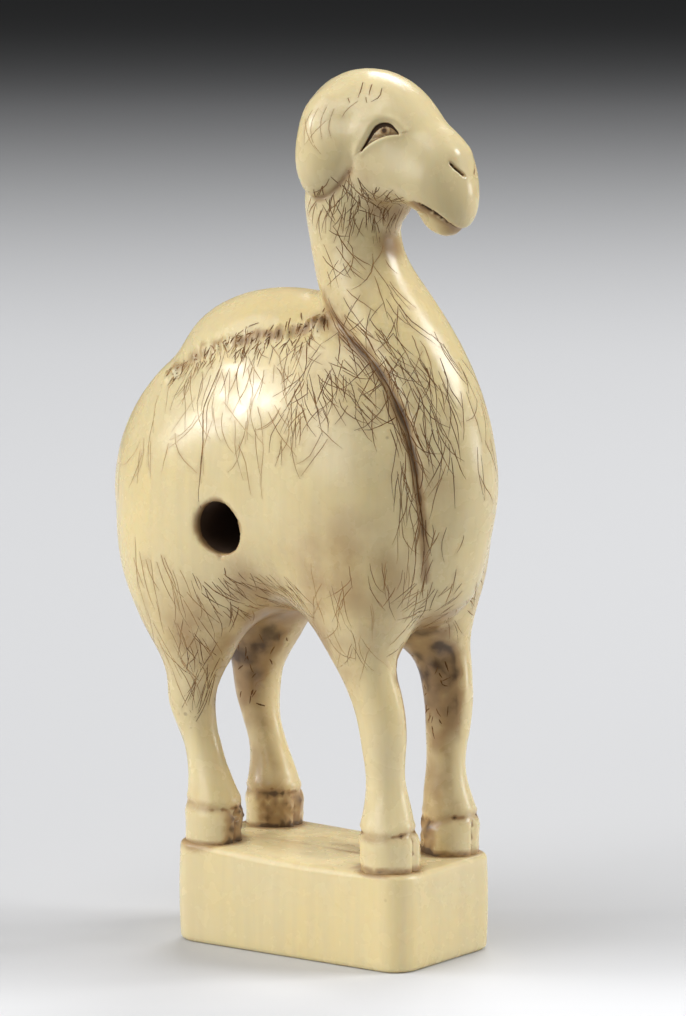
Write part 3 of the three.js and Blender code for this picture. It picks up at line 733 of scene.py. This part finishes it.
# one patch of hair on both sides, laid on from the side, the front, the rear or from between the legs
def coat(view, corners, count, lean, length,
         spread, cross, crossing, width, ink, curl, other, seed, loose=0.35):
    rng = np.random.default_rng(seed)
    for side in (-1, 1):
        n = count if side < 0 else int(count * other)
        if n == 0:
            continue
        s, t = rng.random((2, n))
        (ax, az), (bx, bz), (cx, cz), (dx, dz) = corners
        at_a, at_b, at_c, at_d = (1 - s) * (1 - t), s * (1 - t), s * t, (1 - s) * t
        u = at_a * ax + at_b * bx + at_c * cx + at_d * dx + rng.normal(0, loose, n)
        v = at_a * az + at_b * bz + at_c * cz + at_d * dz + rng.normal(0, loose, n)
        heading = np.array({"side": (0.0, -side, 0.0), "inner": (0.0, side, 0.0),
                            "front": (-1.0, 0.0, 0.0), "rear": (1.0, 0.0, 0.0)}[view])
        start = np.full(n, {"side": 20.0 * side, "inner": 0.0, "front": 24.0, "rear": -28.0}[view])
        if view in ("side", "inner"):
            spots = np.stack([u, start, v], 1)
        else:
            spots = np.stack([start, -side * u, v], 1)
        for _ in range(STEPS_IN):
            spots = spots + 0.85 * np.clip(animal(*spots.T), -1, 5)[:, None] * heading
        keep = np.abs(animal(*spots.T)) < 0.05
        angle = lean[0] * (1 - s) + lean[1] * s + rng.normal(0, spread, n)
        angle = np.radians(angle + np.where(rng.random(n) < cross, crossing, 0))
        if view in ("side", "inner"):
            flow = np.stack([np.sin(angle), np.zeros(n), -np.cos(angle)], 1)
        else:
            flow = np.stack([np.zeros(n), -side * np.sin(angle), -np.cos(angle)], 1)
        long = rng.uniform(*length, n)
        places_on = 6 if length[1] > 3.2 else 5 if length[1] > 1.6 else 3
        paths = walk(spots[keep], flow[keep], long[keep], curl, places_on, rng)
        for path, across, tone in zip(paths, rng.uniform(*width, n)[keep], rng.uniform(*ink, n)[keep]):
            if np.abs(bored(*path.T)).max() < 0.08 and path[:, 2].min() > BLOCK_TOP + 0.3:
                hairs.append((laid(path), across, tone))


# single strokes of the crown and the ear, given for the left side and cut on both: a line, half its width
# and how dark its ink is; then the age crack, and the deep strokes in the valley beside the neck
SINGLE = [
    ([(4.48, 2.4, 69.08), (4.74, 3.02, 68.52), (4.8, 3.51, 67.95)], 0.045, 0.7),
    ([(5.25, 2.27, 68.96), (5.4, 2.75, 68.54), (5.53, 3.07, 68.19)], 0.045, 0.7),
    ([(6.1, 2.14, 68.69), (6.35, 2.76, 68.05), (5.9, 3.32, 67.69)], 0.045, 0.75),
    ([(5.38, 3.26, 68.04), (5.5, 3.4, 67.8), (5.64, 3.48, 67.61)], 0.045, 0.6),
    ([(4.01, 3.73, 67.92), (4.2, 3.85, 67.7), (4.32, 3.89, 67.56)], 0.045, 0.6),
    ([(4.9, 3.6, 67.7), (4.2, 4.0, 67.0), (3.9, 4.2, 66.4)], 0.035, 0.35),
    ([(2.0, 5.0, 67.2), (1.5, 5.3, 65.8), (1.9, 5.4, 64.4), (2.6, 5.3, 63.6)], 0.03, 0.3),
    ([(2.7, 4.8, 67.3), (2.4, 5.3, 66.0), (2.7, 5.4, 64.8)], 0.03, 0.35),
    ([(1.4, 5.0, 67.0), (0.9, 5.1, 65.6), (1.1, 5.3, 64.2)], 0.03, 0.3),
    ([(3.3, 4.6, 67.1), (3.1, 5.1, 65.8), (3.4, 5.1, 64.9)], 0.03, 0.25),
    ([(0.8, 4.9, 66.2), (1.4, 5.4, 64.9), (2.1, 5.4, 64.0)], 0.03, 0.25),
    ([(2.9, 5.1, 66.2), (1.9, 5.4, 65.2), (1.2, 5.3, 64.3)], 0.03, 0.22)]
for line, across, tone in SINGLE:
    for sign in (1, -1):
        hairs.append((laid(eased(np.array(line) * (1, sign, 1), 1)), across, tone))
hairs.append((laid(CRACK), 0.07, 0.75))
hairs.append((laid(CRACK[4:11] + (0.35, 0, 0.2)), 0.05, 0.5))
for sign in (1, -1):
    for first, last in ((6, 24), (20, 40), (36, 52)):
        hairs.append((laid(VALLEY[first:last] * (1, sign, 1)), 0.09, 1.0))
    for first, last, aside in ((4, 16, 0.5), (10, 22, 0.8), (16, 30, 0.45), (26, 38, 0.6), (32, 48, 0.4)):
        beside = VALLEY[first:last:2] * (1, sign, 1) + (-aside, 0, -0.3 * aside)
        hairs.append((laid(beside), 0.06, 0.9))

# view, corners of the patch as x or y and height, number, lean in degrees at both ends, range of length, then
# spread of the lean, share that crosses and by how much, range of half-width and of ink, curl, share that
# the left side has, seed, and how loosely the strokes keep to the patch where that isn't 0.35
COAT = [
    ("side", [(4.2, 62.3), (5.4, 61.6), (5.6, 58.4), (3.2, 58.2)], 53, (-14, 4), (1.0, 3.0),
     12, 0.15, 40, (0.036, 0.054), (0.5, 1.0), 16, 0.15, 2),
    ("side", [(5.2, 61.3), (9.3, 60.7), (8.0, 57.8), (5.2, 58.6)], 114, (-8, -60), (1.2, 2.8),
     7, 0.06, 50, (0.038, 0.056), (0.6, 1.0), 14, 0.15, 27),
    ("side", [(1.0, 60.0), (4.5, 62.4), (4.1, 60.2), (1.4, 58.8)], 39, (-30, -14), (1.0, 2.8),
     12, 0.25, 45, (0.036, 0.055), (0.5, 1.0), 14, 0.15, 3),
    ("side", [(0.4, 58.2), (5.0, 57.4), (7.8, 52.6), (1.0, 52.4)], 27, (32, 42), (1.4, 3.8),
     12, 0.35, -72, (0.035, 0.052), (0.35, 0.95), 12, 0.15, 4),
    ("side", [(2.6, 52.4), (8.4, 52.0), (13.0, 45.0), (8.6, 47.2)], 63, (44, 36), (1.8, 4.6),
     9, 0.25, -64, (0.038, 0.058), (0.5, 1.0), 8, 0.15, 5),
    ("side", [(6.4, 49.6), (11.6, 48.4), (13.8, 40.4), (10.9, 42.8)], 55, (32, 22), (1.8, 4.8),
     10, 0.3, -50, (0.04, 0.06), (0.55, 1.0), 8, 0.15, 6),
    ("side", [(2.4, 50.2), (4.2, 50.8), (9.4, 46.4), (8.0, 46.4)], 24, (52, 44), (2.2, 4.6),
     6, 0.06, -30, (0.04, 0.062), (0.6, 1.0), 4, 0.2, 7),
    ("side", [(8.0, 47.0), (9.3, 47.0), (11.4, 41.4), (10.2, 41.4)], 24, (34, 24), (2.2, 5.0),
     6, 0.06, -30, (0.042, 0.064), (0.6, 1.0), 4, 0.2, 24),
    ("side", [(10.0, 42.8), (11.0, 42.4), (12.0, 34.6), (10.9, 35.4)], 24, (16, 6), (2.2, 4.6),
     6, 0.15, -25, (0.038, 0.058), (0.5, 0.95), 5, 0.15, 8),
    ("side", [(0.2, 49.0), (4.6, 48.6), (9.6, 43.4), (2.4, 43.4)], 76, (6, 54), (1.4, 3.8),
     14, 0.25, -48, (0.038, 0.056), (0.5, 1.0), 12, 0.15, 9),
    ("side", [(-3.0, 45.0), (2.0, 45.0), (6.8, 41.6), (0.5, 41.8)], 18, (12, 34), (1.8, 3.8),
     12, 0.35, -48, (0.033, 0.046), (0.25, 0.7), 10, 0.15, 10),
    ("side", [(-12.8, 45.8), (-6.0, 49.0), (-6.0, 47.9), (-12.6, 44.8)], 67, (-30, -4), (0.5, 1.5),
     16, 0.2, 40, (0.045, 0.085), (0.35, 0.95), 14, 0.15, 11, 0.2),
    ("side", [(-6.0, 49.2), (2.2, 51.2), (2.0, 49.2), (-6.0, 47.6)], 114, (-4, 12), (0.6, 1.6),
     18, 0.3, -45, (0.045, 0.09), (0.5, 1.0), 16, 0.15, 12, 0.25),
    ("side", [(-11.5, 46.4), (1.5, 50.0), (1.5, 47.6), (-10.5, 44.6)], 44, (-16, 16), (1.4, 3.2),
     11, 0.3, 34, (0.03, 0.046), (0.2, 0.7), 10, 0.15, 28),
    ("side", [(-13.4, 45.0), (1.0, 47.6), (-1.0, 41.0), (-14.5, 38.5)], 39, (-16, 14), (2.2, 5.0),
     9, 0.3, 28, (0.028, 0.042), (0.08, 0.42), 10, 0.15, 13),
    ("side", [(-8.4, 30.4), (1.6, 30.2), (2.2, 27.4), (-6.4, 26.4)], 97, (36, 50), (1.0, 2.8),
     11, 0.1, -30, (0.036, 0.056), (0.35, 0.95), 8, 0.15, 14),
    ("side", [(-4.8, 30.6), (1.6, 30.4), (1.8, 27.4), (-4.2, 26.0)], 29, (34, 44), (0.4, 1.1),
     16, 0.1, -30, (0.045, 0.072), (0.5, 1.0), 12, 0.35, 15),
    ("side", [(-15.5, 33.0), (-7.4, 31.4), (-7.6, 22.6), (-13.4, 21.0)], 49, (14, 22), (2.2, 5.2),
     8, 0.12, -24, (0.028, 0.046), (0.1, 0.5), 7, 0.15, 16),
    ("side", [(-8.6, 26.0), (-6.4, 25.4), (-8.2, 18.4), (-9.6, 18.2)], 29, (-18, -30), (1.6, 4.2),
     8, 0.15, 36, (0.038, 0.056), (0.5, 1.0), 6, 0.15, 17),
    ("side", [(3.6, 32.4), (9.4, 32.0), (8.6, 24.6), (5.0, 24.4)], 29, (10, 16), (1.6, 4.0),
     12, 0.35, -38, (0.028, 0.045), (0.12, 0.55), 10, 0.15, 18),
    ("side", [(9.6, 36.4), (13.8, 35.4), (11.8, 29.2), (9.6, 28.4)], 32, (10, -8), (1.4, 3.6),
     12, 0.25, -30, (0.033, 0.05), (0.3, 0.8), 10, 0.15, 19),
    ("front", [(0.6, 30.2), (5.0, 31.0), (4.0, 26.6), (0.4, 26.8)], 40, (30, 50), (1.0, 2.6),
     12, 0.1, -30, (0.036, 0.052), (0.35, 0.9), 9, 0.8, 20),
    ("front", [(0.2, 50.0), (3.4, 49.0), (4.6, 38.6), (0.3, 38.6)], 19, (14, 24), (1.8, 4.2),
     12, 0.3, -40, (0.033, 0.05), (0.3, 0.85), 9, 0.8, 21),
    ("rear", [(0.1, 31.5), (0.75, 31.5), (0.5, 27.2), (0.1, 27.2)], 18, (2, 8), (1.0, 2.4),
     7, 0.1, -12, (0.038, 0.052), (0.5, 0.95), 6, 0.8, 22),
    ("rear", [(1.2, 40.0), (5.6, 38.0), (5.4, 24.0), (1.8, 26.0)], 21, (-6, 10), (2.0, 4.6),
     9, 0.2, -24, (0.028, 0.044), (0.1, 0.5), 7, 0.8, 23),
    ("inner", [(-10.0, 24.8), (-6.6, 24.6), (-8.6, 17.5), (-11.5, 17.5)], 27, (-20, 20), (0.3, 1.0),
     40, 0.2, -60, (0.05, 0.1), (0.6, 1.0), 20, 1.0, 25),
    ("inner", [(5.0, 24.8), (8.2, 24.8), (8.8, 17.6), (6.6, 17.6)], 22, (-20, 20), (0.3, 1.0),
     40, 0.2, -60, (0.05, 0.1), (0.6, 1.0), 20, 1.0, 26)]
for patch in COAT:
    coat(*patch)

# strokes in one group keep a cell of room between them, and those that no group has room for are left out
ROOM = 0.3
MOST_GROUPS = 12
near_by = [(dx, dy, dz) for dx in (-1, 0, 1) for dy in (-1, 0, 1) for dz in (-1, 0, 1)]
batches = []
for number, (path, _, _) in enumerate(hairs):
    closer = np.vstack([path[:-1] * (1 - f) + path[1:] * f for f in (0, 0.25, 0.5, 0.75)] + [path[-1:]])
    home = {tuple(c) for c in np.floor(closer / ROOM).astype(int)}
    wide = {(i + dx, j + dy, k + dz) for i, j, k in home for dx, dy, dz in near_by}
    for used, members in batches:
        if used.isdisjoint(wide):
            used |= home
            members.append(number)
            break
    else:
        if len(batches) < MOST_GROUPS:
            batches.append((set(home), [number]))

# three temporary materials tell the skin, the block and the walls of the strokes apart in the cut mesh
carving_mesh.materials.append(bpy.data.materials.new("skin"))
block_mesh.materials.append(bpy.data.materials.new("block"))
stroke_wall = bpy.data.materials.new("stroke wall")
tools = [block_object]
for _, members in batches:
    wire = bpy.data.curves.new("gravers", "CURVE")
    wire.dimensions = "3D"
    wire.bevel_depth = 1.0
    wire.bevel_resolution = 0
    wire.use_fill_caps = True
    for number in members:
        path, across, _ = hairs[number]
        stroke = wire.splines.new("POLY")
        stroke.points.add(len(path) - 1)
        shape = np.interp(np.linspace(0, 1, len(path)), [0, 0.25, 0.6, 1], [0.55, 1.0, 0.9, 0.3])
        for point, centre, thick in zip(stroke.points, path, shape):
            point.co = (*centre, 1)
            point.radius = across * thick
    holder = bpy.data.objects.new("gravers", wire)
    bpy.context.scene.collection.objects.link(holder)
    bpy.context.view_layer.update()
    solid = bpy.data.meshes.new_from_object(holder.evaluated_get(bpy.context.evaluated_depsgraph_get()))
    bpy.data.objects.remove(holder)
    weld = bmesh.new()
    weld.from_mesh(solid)
    bmesh.ops.remove_doubles(weld, verts=weld.verts, dist=1e-5)
    bmesh.ops.recalc_face_normals(weld, faces=weld.faces)
    for f in weld.faces:
        f.material_index = 0
    weld.to_mesh(solid)
    weld.free()
    solid.materials.clear()
    solid.materials.append(stroke_wall)
    tool = bpy.data.objects.new("gravers", solid)
    bpy.context.scene.collection.objects.link(tool)
    tools.append(tool)
for tool in tools:
    cut = carving.modifiers.new("cut", "BOOLEAN")
    cut.operation = "UNION" if tool is block_object else "DIFFERENCE"
    cut.solver, cut.object, cut.material_mode = "MANIFOLD", tool, "TRANSFER"
bpy.context.view_layer.update()
final = bpy.data.meshes.new_from_object(carving.evaluated_get(bpy.context.evaluated_depsgraph_get()))
carving.modifiers.clear()
carving.data = final
for tool in tools:
    bpy.data.objects.remove(tool)

# shading normals from the uncut surface, and the stain with painted shade and the ink each place carries
tidy = bmesh.new()
tidy.from_mesh(final)
bmesh.ops.triangulate(tidy, faces=tidy.faces)
tidy.to_mesh(final)
tidy.free()
final.validate()
names = [m.name for m in final.materials]
kind = np.empty(len(final.polygons), int)
final.polygons.foreach_get("material_index", kind)
is_ink, is_block = kind == names.index("stroke wall"), kind == names.index("block")
corner_vert = np.empty(len(final.loops), int)
final.loops.foreach_get("vertex_index", corner_vert)
corner_vert = corner_vert.reshape(-1, 3)
at = np.empty(len(final.vertices) * 3)
final.vertices.foreach_get("co", at)
at = at.reshape(-1, 3)
first, second, third = (at[corner_vert[:, corner]] for corner in range(3))
flat = np.cross(second - first, third - first)
flat /= np.linalg.norm(flat, axis=1, keepdims=True) + 1e-20
body_normals, body_values = carved.read(at)
block_users = np.unique(corner_vert[is_block])
block_normals, block_values = body_normals.copy(), body_values.copy()
block_normals[block_users], block_values[block_users] = plinth.read(at[block_users])
RIM_STAIN = 0.2
stroke_verts = np.unique(corner_vert[is_ink])
body_values[stroke_verts, 0] = np.maximum(body_values[stroke_verts, 0], RIM_STAIN)
normals = body_normals[corner_vert]
normals[is_block] = block_normals[corner_vert[is_block]]
normals[is_ink] = flat[is_ink][:, None, :]
turned = (normals * flat[:, None, :]).sum(2) < 0.1
normals[turned] = np.repeat(flat[:, None, :], 3, 1)[turned]
values = body_values[corner_vert]
values[is_block] = block_values[corner_vert[is_block]]
lookup = KDTree(sum(len(path) for path, _, _ in hairs))
ink_tones = []
for path, _, tone in hairs:
    for spot in path:
        lookup.insert(spot, len(ink_tones))
        ink_tones.append(tone)
lookup.balance()
cut_ink = np.zeros(len(kind))
for i in np.flatnonzero(is_ink):
    cut_ink[i] = ink_tones[lookup.find(at[corner_vert[i]].mean(0))[1]]

kind[:] = 0
final.polygons.foreach_set("material_index", kind)
final.materials.clear()
cut_ink = np.repeat(cut_ink[:, None], 3, 1)
# the line values are the inked lines together with the painted shade deep in the bore
for name, data in (("stain", values[:, :, 0]), ("line", values[:, :, 1]), ("cut", cut_ink)):
    layer = final.attributes.new(name, "FLOAT", "CORNER")
    layer.data.foreach_set("value", np.ascontiguousarray(data, dtype=np.float32).ravel())
final.transform(Matrix.Scale(MM, 4))
final.polygons.foreach_set("use_smooth", np.ones(len(kind), bool))
final.normals_split_custom_set(normals.reshape(-1, 3))
final.update()

# the ivory: cream with a faint grain, browned where it is stained and where shade is painted, with pits,
# inked lines and strokes, and painted shade deep in the bore
PALE_CREAM = (0.75, 0.63, 0.36, 1)
WARM_CREAM = (0.77, 0.625, 0.315, 1)
GRAIN_CREAM = (0.70, 0.58, 0.33, 1)
LIGHT_GRAIN = (0.81, 0.72, 0.48, 1)
STAIN_AND_SHADE_BROWN = (0.37, 0.22, 0.095, 1)
DEEP_STAIN_AND_SHADE_BROWN = (0.085, 0.047, 0.024, 1)
PIT_BROWN = (0.25, 0.15, 0.08, 1)
LINE_EDGE_AND_BORE_SHADE = (0.30, 0.16, 0.06, 1)
LINE_INK_AND_BORE_SHADE = (0.055, 0.028, 0.014, 1)
FAINT_INK = (0.48, 0.27, 0.09, 1)
FULL_INK = (0.18, 0.078, 0.022, 1)
ivory = bpy.data.materials.new("ivory")
ivory.use_nodes = True
tree = ivory.node_tree
shader = tree.nodes["Principled BSDF"]


def node(kind, **settings):
    made = tree.nodes.new(kind)
    for key, value in settings.items():
        if key.startswith("in_"):
            name = key[3:]
            made.inputs[int(name) if name.isdigit() else name].default_value = value
        else:
            setattr(made, key, value)
    return made


def link(source, target):
    tree.links.new(source, target)


def blend_colour(factor, first, second):
    mix = node("ShaderNodeMix", data_type="RGBA")
    for value, socket in ((factor, mix.inputs[0]), (first, mix.inputs[6]), (second, mix.inputs[7])):
        if isinstance(value, (float, tuple)):
            socket.default_value = value
        else:
            link(value, socket)
    return mix.outputs[2]


def between(value, low, high, to_low=0.0, to_high=1.0):
    span = node("ShaderNodeMapRange", interpolation_type="SMOOTHSTEP",
                in_1=low, in_2=high, in_3=to_low, in_4=to_high)
    link(value, span.inputs[0])
    return span.outputs[0]


def maths(operation, first, second):
    made = node("ShaderNodeMath", operation=operation)
    for value, socket in ((first, made.inputs[0]), (second, made.inputs[1])):
        if isinstance(value, float):
            socket.default_value = value
        else:
            link(value, socket)
    return made.outputs[0]


spot = node("ShaderNodeTexCoord").outputs["Object"]
stained = node("ShaderNodeAttribute", attribute_name="stain").outputs["Fac"]
lines_and_bore_shade = node("ShaderNodeAttribute", attribute_name="line").outputs["Fac"]
inked = node("ShaderNodeAttribute", attribute_name="cut").outputs["Fac"]


def cloud(scale, detail, stretch=(1, 1, 1), roughness=0.5):
    stretched = node("ShaderNodeMapping")
    stretched.inputs["Scale"].default_value = stretch
    link(spot, stretched.inputs["Vector"])
    made = node("ShaderNodeTexNoise", in_Scale=scale, in_Detail=detail, in_Roughness=roughness)
    link(stretched.outputs["Vector"], made.inputs["Vector"])
    return made.outputs["Fac"]


broad = cloud(110.0, 3.0)
grain = cloud(900.0, 3.0, (1, 1, 0.05), 0.6)
fine = cloud(2600.0, 2.0, (1, 1, 0.12))
mottle = cloud(420.0, 4.0)
cream = blend_colour(between(broad, 0.35, 0.68), PALE_CREAM, WARM_CREAM)
cream = blend_colour(between(grain, 0.42, 0.62, 0.0, 0.5), cream, GRAIN_CREAM)
cream = blend_colour(between(fine, 0.45, 0.8, 0.0, 0.12), cream, LIGHT_GRAIN)
# the stain attribute holds both real stain and painted shade, so this browning is partly painted shade
brown_amount = maths("MULTIPLY", stained, between(mottle, 0.3, 0.62, 0.72, 1.12))
coloured = blend_colour(between(brown_amount, 0.02, 0.55, 0.0, 0.85), cream, STAIN_AND_SHADE_BROWN)
coloured = blend_colour(between(brown_amount, 0.5, 1.0, 0.0, 0.9), coloured, DEEP_STAIN_AND_SHADE_BROWN)
speck = node("ShaderNodeTexVoronoi", in_Scale=330.0)
link(spot, speck.inputs["Vector"])
pits = between(speck.outputs["Distance"], 0.03, 0.075, 1.0, 0.0)
pits = maths("MULTIPLY", pits, between(cloud(140.0, 1.0), 0.56, 0.66))
coloured = blend_colour(maths("MULTIPLY", pits, 0.5), coloured, PIT_BROWN)
# the line attribute holds the inked lines and also the painted shade that darkens the bore inward
coloured = blend_colour(between(lines_and_bore_shade, 0.2, 0.42, 0.0, 0.8), coloured, LINE_EDGE_AND_BORE_SHADE)
coloured = blend_colour(between(lines_and_bore_shade, 0.4, 0.75, 0.0, 0.95), coloured, LINE_INK_AND_BORE_SHADE)
ink = blend_colour(between(inked, 0.1, 0.95), FAINT_INK, FULL_INK)
coloured = blend_colour(between(inked, 0.0, 0.3, 0.0, 0.95), coloured, ink)
link(coloured, shader.inputs["Base Color"])
rough_value = between(cloud(600.0, 3.0), 0.3, 0.7, 0.2, 0.3)
rough_value = maths("ADD", rough_value, maths("MULTIPLY", stained, 0.14))
any_ink_and_bore_shade = maths("MAXIMUM", between(inked, 0.0, 0.1), between(lines_and_bore_shade, 0.3, 0.6))
rough_value = maths("MAXIMUM", rough_value, maths("MULTIPLY", any_ink_and_bore_shade, 0.95))
link(rough_value, shader.inputs["Roughness"])
shader.inputs["Subsurface Weight"].default_value = 0.25
shader.inputs["Subsurface Radius"].default_value = (1.0, 0.55, 0.25)
shader.inputs["Subsurface Scale"].default_value = 0.0012
texture_bump = node("ShaderNodeBump", in_Strength=0.08, in_Distance=0.00006)
link(maths("ADD", fine, mottle), texture_bump.inputs["Height"])
link(texture_bump.outputs["Normal"], shader.inputs["Normal"])
final.materials.append(ivory)

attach(carving, "root")
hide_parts("camel_netsuke")
